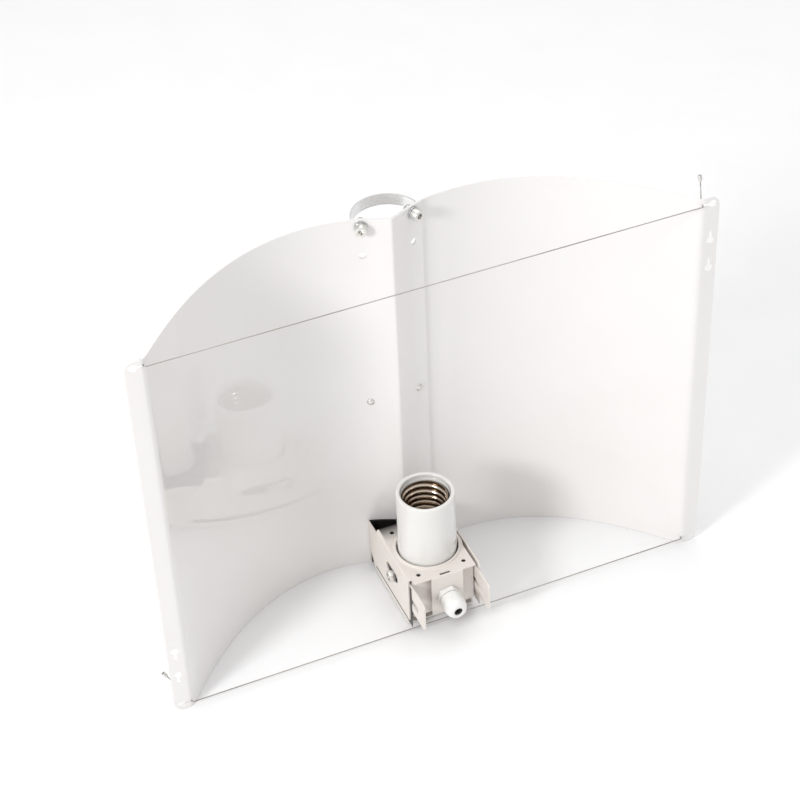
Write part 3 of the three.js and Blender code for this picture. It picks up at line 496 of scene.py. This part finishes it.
def wing_sheet(name, side):
    """One reflector wing: a flat pattern of arc length and height, rolled along the section curve."""
    def drop(x):
        t = np.clip((LAP + 2 + JOGGLE - x) / JOGGLE, 0, 1)
        return LAP_STEP * t * t * (3 - 2 * t) if side > 0 else 0 * x

    x, y, length = wing_front(drop)
    tangent = np.gradient(np.stack([x, y], 1), axis=0)
    tangent /= np.linalg.norm(tangent, axis=1)[:, None]

    def place(u, v):
        front = np.stack([side * np.interp(u, length, x), np.interp(u, length, y), v], 1)
        tx, ty = np.interp(u, length, tangent[:, 0]), np.interp(u, length, tangent[:, 1])
        size = np.hypot(tx, ty)
        return front, np.stack([-side * ty / size, tx / size, 0 * u], 1)

    def along(position):
        return np.interp(position, x, length)

    end = length[-1]
    corner = np.linspace(0, np.pi / 2, 10)
    arc = FLANGE_CORNER * np.stack([np.sin(corner) - 1, 1 - np.cos(corner)], 1) + [end, 0]
    outline = np.vstack([[(0, 0)], arc, np.stack([arc[::-1, 0], HEIGHT - arc[::-1, 1]], 1), [(0, HEIGHT)]])
    near_end = 0.0 if side < 0 else HEIGHT
    keyholes = [(KEYHOLE_Z, np.pi), (HEIGHT - KEYHOLE_Z, np.pi)]
    keyholes += [(abs(near_end - inset), side * np.pi / 2) for inset in SPARE_KEYHOLES]
    loops = [outline] + [keyhole(along(KEYHOLE_X), z, turn) for z, turn in keyholes]
    holes = ((BOTTOM_BOLT, BOLT_HOLE), (BRACKET_BOLT, BOLT_HOLE), (RIVET, 1.9), (SPARE_BOLT, BOLT_HOLE),
             (TOP_BOLT, BOLT_HOLE))
    for (from_crest, z), radius in holes:
        loops += [circle(along(from_crest), z, radius, 28), circle(along(-from_crest), z, radius, 28)]
    creases = [((u, -1.0), (u, HEIGHT + 1.0)) for u in length[1:-1]]
    points, faces = sheet_metal(loops, creases, place, SHEET)
    node = "right_wing" if side > 0 else "left_wing"
    return add_piece(name, points, faces, "reflector", "white_coat", white_coat, [node], 40.0)


wing_sheet("left_wing_sheet", -1)
wing_sheet("right_wing_sheet", 1)


# ---- Reflector hardware ----
def on_flank(points, side, x, z):
    """Stands a body on the front of a ridge flank, with +Z leaving the sheet."""
    slope = slope_at(x)
    return based(points, (side * x, depth_at(x), z), (side * np.sin(slope), -np.cos(slope), 0.0))


def socket_cut(width):
    """Lets a lathe's inmost radii follow a hexagonal recess."""
    def limit(radius, height, angle):
        return np.where(radius < width / 2 + 0.45, six_flats(width)(radius, height, angle), radius)
    return limit


def socket_screw(seat, tail, head):
    """Cylinder-head screw with its hexagon recess; its shank ends at the tail's height."""
    top = seat + head
    profile = [(0, tail), (2.6, tail), (BOLT, tail + 0.5), (BOLT, seat), (5.2, seat), (5.2, top - 0.5),
               (5.0, top - 0.15), (4.6, top), (2.9, top), (2.9, top - head * 0.45), (2.7, top - head * 0.5),
               (0, top - head * 0.55)]
    return turned(profile, 72, shape=socket_cut(5.0))


def washer(outer, low, high):
    """Flat ring round a bolt, its edges softened."""
    loop = rounded_loop([(BOLT_HOLE, low), (outer, low), (outer, high), (BOLT_HOLE, high)], 0.2, 2)
    return turned(loop, 64, closed=True)


def hex_nut(width, low, high, phase=0.0):
    """Nut whose corners are turned off at both ends."""
    corner, chamfer = width / np.sqrt(3) - 0.1, 0.6
    profile = [(BOLT_HOLE, low), (width / 2 - 0.1, low), (corner, low + chamfer), (corner, high - chamfer),
               (width / 2 - 0.1, high), (BOLT_HOLE, high)]
    return turned(profile, 72, closed=True, shape=six_flats(width, phase))


def flank_piece(name, shape, side, place, material=zinc_plate):
    """Adds one piece of hardware at a distance from the crest and a height."""
    points, faces = shape
    add_piece(name + "_look", on_flank(points, side, *place), faces, "reflector", "zinc", material, [name])


strap_back = BACK - GAP - STRAP
for hand, side in (("left", -1), ("right", 1)):
    for end, bolt, lift in (("top", TOP_BOLT, 0.0), ("bottom", BOTTOM_BOLT, LIFT)):
        washer_back = lift + GAP
        head_seat = washer_back + WASHER + GAP
        screw = socket_screw(head_seat, strap_back - GAP - SHANK_PAST, 6.5)
        flank_piece(f"hanger_screw_{end}_{hand}", screw, side, bolt, pale_zinc)
        ring = washer(6.0, washer_back, washer_back + WASHER)
        flank_piece(f"hanger_washer_{end}_{hand}", ring, side, bolt)
        nut = hex_nut(9.0, strap_back - GAP - NUT, strap_back - GAP)
        flank_piece(f"hanger_nut_{end}_{hand}", nut, side, bolt)
    low_screw = socket_screw(LIFT + GAP + WASHER + GAP, BACK - GAP - SHANK_PAST, 3.5)
    flank_piece(f"bracket_screw_{hand}", low_screw, side, BRACKET_BOLT, pale_zinc)
    low_nut = hex_nut(9.0, BACK - GAP - NUT, BACK - GAP)
    flank_piece(f"bracket_nut_{hand}", low_nut, side, BRACKET_BOLT)
    dome = np.linspace(0, np.pi / 2, 7)
    head = np.stack([3.3 * np.cos(dome), GAP + 1.4 * np.sin(dome)], 1)
    rivet = [(0, BACK - 1.7), (2.3, BACK - 1.5), (3.3, BACK - GAP), (1.6, BACK - GAP), (1.6, GAP), *head]
    flank_piece(f"ridge_rivet_{hand}", turned(rivet, 40), side, RIVET, pale_zinc)


def bent(path, planes, inward):
    """Carries flat patterns along a bent line: u is length along it, v the third direction."""
    path = np.asarray(path, float)
    length = np.concatenate([[0], np.cumsum(np.linalg.norm(np.diff(path, axis=0), axis=1))])
    tangent = np.gradient(path, length, axis=0)
    a, b, c = planes

    def place(u, v):
        front, normal = np.zeros((len(u), 3)), np.zeros((len(u), 3))
        front[:, a], front[:, b] = np.interp(u, length, path[:, 0]), np.interp(u, length, path[:, 1])
        front[:, c] = v
        ta, tb = np.interp(u, length, tangent[:, 0]), np.interp(u, length, tangent[:, 1])
        size = np.hypot(ta, tb)
        normal[:, a], normal[:, b] = -inward * tb / size, inward * ta / size
        return front, normal
    return place, length


def cross_creases(length, low, high):
    """Crease lines square to a bent line, one at each of its inner points."""
    return [((u, low - 1.0), (u, high + 1.0)) for u in length[1:-1]]


def hanger_strap(name, bolt):
    """Strap along a foot behind one flank, round the arch, and back along the other foot."""
    arch_radius, arch_top, past_bolt, half_width = 30.0, 131.0, 6.5, 5.25
    bolt_x, z = bolt
    middle = BACK - GAP - STRAP / 2
    foot = [(x, depth_at(x) - middle / np.cos(slope_at(x))) for x in (bolt_x - past_bolt, arch_radius)]
    turn = np.linspace(0, np.pi, 41)[1:-1]
    arch_middle = arch_top - arch_radius - STRAP / 2
    arch = np.stack([arch_radius * np.cos(turn), arch_middle + arch_radius * np.sin(turn)], 1)
    mirrored = [(-x, y) for x, y in foot[::-1]]
    corners = softened([*foot, *arch, *mirrored], 2.0, 3)
    place, length = bent(corners, (0, 1, 2), 1.0)

    def centred(u, v):
        front, normal = place(u, v)
        return front - normal * STRAP / 2, normal

    end, low, high = length[-1], z - half_width, z + half_width
    outline = rounded_loop([(0, low), (end, low), (end, high), (0, high)], 1.2)
    reach = past_bolt / np.cos(slope_at(bolt_x))
    holes = [circle(reach, z, BOLT_HOLE, 24), circle(end - reach, z, BOLT_HOLE, 24)]
    points, faces = sheet_metal([outline, *holes], cross_creases(length, z - 6, z + 6), centred, STRAP)
    add_piece(name + "_look", points, faces, "reflector", "zinc", strap_steel, [name])


hanger_strap("hanger_strap_top", TOP_BOLT)
hanger_strap("hanger_strap_bottom", BOTTOM_BOLT)


def tube(path, radius, sides=12):
    """Sweeps a circle along a path, turning its frame by the least angle from point to point."""
    path = np.asarray(path, float)
    tangent = np.gradient(path, axis=0)
    tangent /= np.linalg.norm(tangent, axis=1)[:, None]
    across = np.zeros_like(path)
    across[0] = np.cross(tangent[0], (0.31, 0.27, 0.91))
    for i in range(1, len(path)):
        across[i] = across[i - 1] - tangent[i] * (across[i - 1] @ tangent[i])
    across /= np.linalg.norm(across, axis=1)[:, None]
    angle = np.linspace(0, 2 * np.pi, sides, endpoint=False)
    outline = np.stack([radius * np.cos(angle), radius * np.sin(angle)], 1)
    return swept(path, across, np.cross(tangent, across), outline)


WIRE_X = KEYHOLE_X - KEYHOLE_REACH
WIRE_Y = -1.25
ANCHOR_Y = 8.0
tails = {
    "top": (1, HEIGHT - KEYHOLE_Z, [(246, 3, 389), (248.5, 9, 393), (250, 13, 401), (250, 15, 409)]),
    "bottom": (-1, KEYHOLE_Z, [(-246, 3, 7), (-249, 9, 12), (-257, 14, 23), (-264, 17, 34)]),
}
sleeve_loop = rounded_loop([(1.0, -2.5), (1.8, -2.5), (1.8, 2.5), (1.0, 2.5)], 0.25, 2)
sleeve, sleeve_faces = turned(sleeve_loop, 32, closed=True)
for end, (side, z, tail) in tails.items():
    across_front = [(-side * WIRE_X, ANCHOR_Y, z), (-side * WIRE_X, WIRE_Y, z), (side * WIRE_X, WIRE_Y, z)]
    wire = tube(softened([*across_front, *tail], 2.2, 8), 0.5)
    add_piece(f"tie_wire_{end}_look", *wire, "reflector", "wire_steel", wire_steel, [f"tie_wire_{end}"])
    along = np.subtract(tail[-1], tail[-2])
    along = along / np.linalg.norm(along)
    rear = based(sleeve, (-side * WIRE_X, ANCHOR_Y - 2.5, z), (0.0, 1.0, 0.0))
    tip = based(sleeve, np.array(tail[-1]) - 2.0 * along, along, (0.0, 1.0, 0.0))
    for node, points in ((f"wire_anchor_{end}", rear), (f"wire_ferrule_{end}", tip)):
        add_piece(node + "_look", points, sleeve_faces, "reflector", "zinc", pale_zinc, [node])


# ---- Sliding carriage ----
def at_lamp(points):
    """Moves a body turned about Z onto the lamp's axis."""
    return points + LAMP


def flat_place(axis, level, inward):
    """Lays a flat pattern square to an axis at a level; u and v run along the other two axes in turn."""
    def place(u, v):
        front = np.insert(np.stack([u, v], 1), axis, level, axis=1)
        normal = np.zeros_like(front)
        normal[:, axis] = inward
        return front, normal
    return place


def plate_and_cheek():
    """Top plate and left cheek: one sheet bent over the plate's left edge."""
    right_edge = 30.2
    corners = [(right_edge, PLATE), (-CHEEK, PLATE), (-CHEEK, CHEEK_FOOT)]
    place, length = bent(softened(corners, 1.6, 5), (0, 2, 1), 1.0)
    end = length[-1]

    def across(x):
        return right_edge - x

    def down(z):
        return end - (z - CHEEK_FOOT)

    left_edge = across(-right_edge)
    outline = [(0, -3.5), (left_edge, -3.5), (left_edge, 3), (end, 3), (end, 88), (down(44.0), 88),
               (down(57.6), 77.6), (down(62), 76.6), (0, 76.6)]
    radii = np.array([0.8, 0.5, 0.3, 1.5, 1.5, 3.0, 1.0, 0.3, 0.8])
    screw_holes = [circle(across(x), y, 2.1, 28) for x in (22.3, -22.3) for y in (36.8 - 30.6, 36.8 + 30.6)]
    vent = slot_loop(across(0.5), -1.2, 10.5, 2.2)
    clamp_slot = slot_loop(down(CLAMP[1]), 42.0, 26.0, 10.0, np.pi / 2)
    collar_hole = circle(across(0), LAMP[1], 28.3, 128)
    loops = [rounded_loop(outline, radii), collar_hole, *screw_holes, vent, clamp_slot]
    return sheet_metal(loops, cross_creases(length, -4, 89), place, PLATE_SHEET)


def front_flap():
    """Flap bent down from the plate's front edge, with the gland's hole."""
    foot = 18.0
    line = softened([(-3.5, PLATE), (GLAND[1], PLATE), (GLAND[1], foot)], 0.9, 4)
    place, length = bent(line, (1, 2, 0), 1.0)
    bottom = length[-1]
    outline = rounded_loop([(0, -14), (bottom, -14), (bottom, 17), (0, 17)], np.array([0.01, 1.2, 1.2, 0.01]))
    gland_hole = circle(bottom - (GLAND[2] - foot), GLAND[0], 8.2, 48)
    return sheet_metal([outline, gland_hole], cross_creases(length, -15, 18), place, PLATE_SHEET)


def collar():
    """Pressed ring round the porcelain, its outer edge running down into the plate."""
    profile = [(28.4, 62.5), (28.4, 65.4), (29.2, 65.9), (30.4, 65.4), (31.0, 63.9), (32.4, 63.62),
               (32.4, 63.3), (30.4, 62.5)]
    points, faces = turned(rounded_loop(profile, 0.5, 3), 128, closed=True)
    return at_lamp(points), faces


def vent_shadow_sheet():
    """Thin black strip of painted shade under the top plate's vent, so the vent shows dark."""
    outline = rounded_loop([(-6, -3.1), (7, -3.1), (7, 1.2), (-6, 1.2)], 0.5)
    return sheet_metal([outline], [], flat_place(2, PLATE - PLATE_SHEET - 0.1, -1.0), 0.2)


def cheek_shadow_sheet():
    """Thin black sheet of painted shade between the left cheek and its arm; it shows as a shadow past two
    edges and in the slot.
    """
    outline = rounded_loop([(-0.8, 7.4), (86, 7.4), (86, 40), (74, 56), (-0.8, 56)], 0.5)
    return sheet_metal([outline, circle(*CLAMP, 3.6)], [], flat_place(0, -32.66, 1.0), 0.2)


def joined(shells):
    """Puts several closed surfaces into one mesh."""
    count, all_points, all_faces = 0, [], []
    for points, faces in shells:
        all_points.append(points)
        all_faces += [[i + count for i in face] for face in faces]
        count += len(points)
    return np.vstack(all_points), all_faces


def right_cheek():
    """Flat side sheet with sloping back corner and a slot for the clamp."""
    outline = [(-5, 13), (88, 13), (88, 44), (77.6, 59), (76.6, 65), (-1, 65), (-5, 61)]
    radii = np.array([1.5, 1.5, 3.0, 1.0, 0.8, 1.5, 1.5])
    loops = [rounded_loop(outline, radii), slot_loop(42.0, CLAMP[1], 22.0, 8.1)]
    return sheet_metal(loops, [], flat_place(0, CHEEK, -1.0), PLATE_SHEET)


coated_shells = (plate_and_cheek(), front_flap(), collar())
# black sheets of painted shade: a shadow under the left cheek's edge and in its slot, and the dark under the
# vent
shade_sheet_shells = (cheek_shadow_sheet(), vent_shadow_sheet())
points, faces = joined((*coated_shells, *shade_sheet_shells))
painted_shade_values = np.zeros(len(points))
painted_shade_values[-sum(len(shell[0]) for shell in shade_sheet_shells):] = 1
saddle = add_piece("socket_saddle_look", points, faces, "carriage", "beige_steel", bracket_coat,
                   ["socket_saddle"], 30.0)
# flags the points of the painted shade sheets for the coat's near-black colour
mark(saddle, "shade_sheet_flag", points, painted_shade_values)
add_piece("right_cheek_look", *right_cheek(), "carriage", "beige_steel", bracket_coat, ["right_cheek"], 30.0)


def clamp_parts(hand, side):
    """Bolt tip with its thread, washer and nut, standing out along X from the cheek."""
    thread = [(BOLT if i % 2 else 2.65, 30.5 + 0.5 * i) for i in range(16)]
    bolt = [(0, 24.4), (4, 24.8), (6, 26.4), (6, 27.4), (BOLT, 27.4), (BOLT, 30), *thread, (0, 38.5)]
    shapes = (
        ("clamp_bolt", turned(bolt, 48), "carriage", pale_zinc),
        ("clamp_washer", washer(5.2, 34.2, 35.2), "carriage", zinc_plate),
        ("clamp_nut", hex_nut(11.0, 35.5, 39.5, 0.2), f"clamp_nut_{hand}", pale_zinc),
    )
    for piece, (points, faces), body, material in shapes:
        node = f"{piece}_{hand}"
        placed = based(points, (0, *CLAMP), (side, 0, 0))
        add_piece(node + "_look", placed, faces, body, "zinc", material, [node])


clamp_parts("left", -1)
clamp_parts("right", 1)


# ---- Lampholder ----
def porcelain_body():
    """Glazed sleeve with a rounded rim, an inner ledge and a flange under the plate."""
    corners = [(19, 34), (22.5, 34), (22.5, 48), (28.2, 48), (28.2, 56), (27.3, 57), (27.3, 67.6),
               (26.9, 119.8), (26.7, RIM_TOP), (22.9, RIM_TOP), (22.7, 127.6), (21.9, 125.4), (21.9, 78),
               (3.2, 78), (3.2, 72), (19, 72)]
    radii = np.array([0.5, 0.5, 0.5, 0.5, 0.5, 0.5, 2, 9, 2.2, 1.6, 0.8, 0.5, 0.5, 0.3, 0.3, 1])
    return turned(rounded_loop(corners, radii, 7), 160, closed=True)


points, faces = porcelain_body()
add_piece("porcelain_body_look", at_lamp(points), faces, "carriage", "porcelain", glaze, ["porcelain_body"])


def screw_shell():
    """Double wall r = m(z) + 0.9 w, where w is sin(2 pi z / pitch - angle) with its size raised to 0.8
    and its sign kept. The mean m(z) widens below the mouth on a smooth step.

    Also returns how deep each point lies in its groove, from 0 on the crest to 1, which the finish paints as
    shade."""
    count, bottom, widening, mouth = 144, 78.9, 112.0, 126.2
    thread_depth, wall = 0.9, 0.5
    angle = np.linspace(0, 2 * np.pi, count, endpoint=False)[None, :]
    z = np.linspace(bottom, mouth, 190)[:, None]
    rise = np.clip((z - widening) / (mouth - widening), 0, 1)
    mean = 18.9 + 1.7 * rise ** 2 * (3 - 2 * rise)
    wave = np.sin(2 * np.pi * z / PITCH - angle)
    inner = mean + thread_depth * np.sign(wave) * np.abs(wave) ** 0.8
    in_groove = 0.5 + 0.5 * wave
    outer = (inner + wall)[::-1]
    floor = np.array([(19.0, 78.35), (11.0, 78.35), (11.0, bottom), (17.5, bottom)])[:, :, None]
    radius = np.vstack([inner, outer, floor[:, 0] + 0 * angle])
    height = np.vstack([z + 0 * angle, z[::-1] + 0 * angle, floor[:, 1] + 0 * angle])
    painted_groove_shade = np.vstack([in_groove, np.ones_like(outer), np.ones((len(floor), count))])
    points = np.stack([radius * np.cos(angle), radius * np.sin(angle), height], -1).reshape(-1, 3)
    return points, grid_faces(len(radius), count, True), painted_groove_shade.ravel()


points, faces, painted_groove_shade = screw_shell()
shell = add_piece("screw_shell_look", at_lamp(points), faces, "carriage", "nickel", nickelled_brass,
                  ["screw_shell"], 60.0)
# stores where the grooves' painted shade falls
mark(shell, "painted_groove_shade", at_lamp(points), painted_groove_shade)

contact = [(0, 66.7), (2.6, 66.7), (2.6, 69.2), (4.4, 69.2), (4.4, 71.7), (2.6, 71.7), (2.6, 87), (6.9, 87.1),
           (7, 88.6), (6.4, 89.3), (5.2, 89.7), (3, 89.95), (0, 90)]
points, faces = turned(contact, 64)
add_piece("centre_contact_look", at_lamp(points), faces, "centre_contact", "brass", warm_brass,
          ["centre_contact"])


def contact_spring():
    """Helix of 5 mm radius and four turns, z rising evenly with its angle."""
    t = np.linspace(0, 1, 160)
    turn = 8 * np.pi * t
    path = np.stack([5 * np.cos(turn), 5 * np.sin(turn), 78.85 + 7.2 * t], 1)
    return tube(at_lamp(path), 0.5)


spring = add_piece("contact_spring_look", *contact_spring(), "carriage", "zinc", pale_zinc,
                   ["contact_spring"])
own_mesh(spring)


# ---- Cable gland ----
FLATS = np.pi / 6 + np.radians(10.0)   # turn of the collar and cap, as they were left when tightened


def from_flap(points):
    """Stands a body turned about Z out of the front flap."""
    return based(points, GLAND, (0.0, -1.0, 0.0))


def soft_flats(width):
    """Blends a dome into six flats: -log(exp(-3 r) + exp(-3 flat)) / 3."""
    def limit(radius, height, angle):
        flat = six_flats(width, FLATS)(0 * radius + 99.0, height, angle)
        return -np.log(np.exp(-3 * radius) + np.exp(-3 * flat)) / 3
    return limit


body_corners = [(4.6, -12.1), (7.9, -12.1), (7.9, 0.3), (11.7, 0.3), (11.7, 4.4), (11.0, 5.1), (7.2, 5.1),
                (7.2, 14), (4.6, 14)]
body = rounded_loop(body_corners, 0.3, 3)
points, faces = turned(body, 96, closed=True, shape=six_flats(20.0, FLATS))
add_piece("gland_body_look", from_flap(points), faces, "carriage", "white_plastic", moulded_white,
          ["gland_body"])

cap_corners = [(7.5, 5.4), (9.6, 5.4), (10.5, 6.6), (10.75, 9), (10.9, 13.4), (10.5, 17.4), (9.4, 21.2),
               (7.8, 23.5), (6.2, 24.3), (4.5, 24.3), (4.0, 23.8), (4.0, 21.3), (7.5, 15.5)]
cap_radii = np.array([0.2, 0.7, 0.7, 2, 2, 2, 2, 1.2, 0.9, 0.3, 0.3, 0.3, 0.3])
cap = rounded_loop(cap_corners, cap_radii, 5)
points, faces = turned(cap, 120, closed=True, shape=soft_flats(21.2))
add_piece("gland_cap_look", from_flap(points), faces, "gland_cap", "white_plastic", moulded_white,
          ["gland_cap"])

seal = rounded_loop([(2.6, 14.3), (6.9, 14.3), (6.9, 15.3), (3.85, 20.9), (3.85, 23.3), (2.6, 23.3)], 0.25, 3)
points, faces = turned(seal, 64, closed=True)
add_piece("gland_seal_look", from_flap(points), faces, "carriage", "rubber", dark_rubber, ["gland_seal"])


# ---- Camera, lights and floor ----
def add_camera():
    """Looks down on the front from the left and above."""
    data = bpy.data.cameras.new("view_camera")
    data.sensor_width = 36.0
    data.lens = 96.09
    data.shift_x = -0.0035
    data.shift_y = -0.0026
    data.clip_end = 50.0
    camera = bpy.data.objects.new("view_camera", data)
    camera.location = (-0.53355, -1.32483, 1.41686)
    camera.rotation_euler = np.radians((50.2515, 2.009, -23.1612))
    bpy.context.scene.collection.objects.link(camera)
    bpy.context.scene.camera = camera


def add_light(name, place, aim, size, power):
    """A round panel that faces its aim."""
    data = bpy.data.lights.new(name, "AREA")
    data.shape = "DISK"
    data.size = size
    data.energy = power
    light = bpy.data.objects.new(name, data)
    light.location = place
    light.rotation_euler = (Vector(aim) - Vector(place)).to_track_quat("-Z", "Y").to_euler()
    bpy.context.scene.collection.objects.link(light)


def add_floor():
    """A wide pale sheet just under the reflector's edge."""
    reach, level = 6.0, -2e-4
    corners = [(-reach, -reach, level), (reach, -reach, level), (reach, reach, level), (-reach, reach, level)]
    mesh = bpy.data.meshes.new("floor")
    mesh.from_pydata(corners, [], [(0, 1, 2, 3)])
    mesh.materials.append(coated("floor_paper", (0.885, 0.885, 0.89), (0.9, 0.9, 0.905), (0.6, 0.7), 0.00002))
    floor = bpy.data.objects.new("floor", mesh)
    bpy.context.scene.collection.objects.link(floor)


def add_sky():
    """Even white light from all round."""
    world = bpy.data.worlds.new("studio")
    world.use_nodes = True
    world.node_tree.nodes["Background"].inputs["Color"].default_value = (1.0, 1.0, 1.0, 1.0)
    world.node_tree.nodes["Background"].inputs["Strength"].default_value = 0.76
    bpy.context.scene.world = world


add_camera()
add_floor()
add_sky()
add_light("key_panel", (-2.1, -0.95, 1.45), (0.0, 0.0, 0.15), 0.6, 34.0)
add_light("top_panel", (0.3, 0.3, 2.4), (0.0, 0.0, 0.0), 2.0, 17.0)
bpy.context.scene.view_settings.view_transform = "Standard"
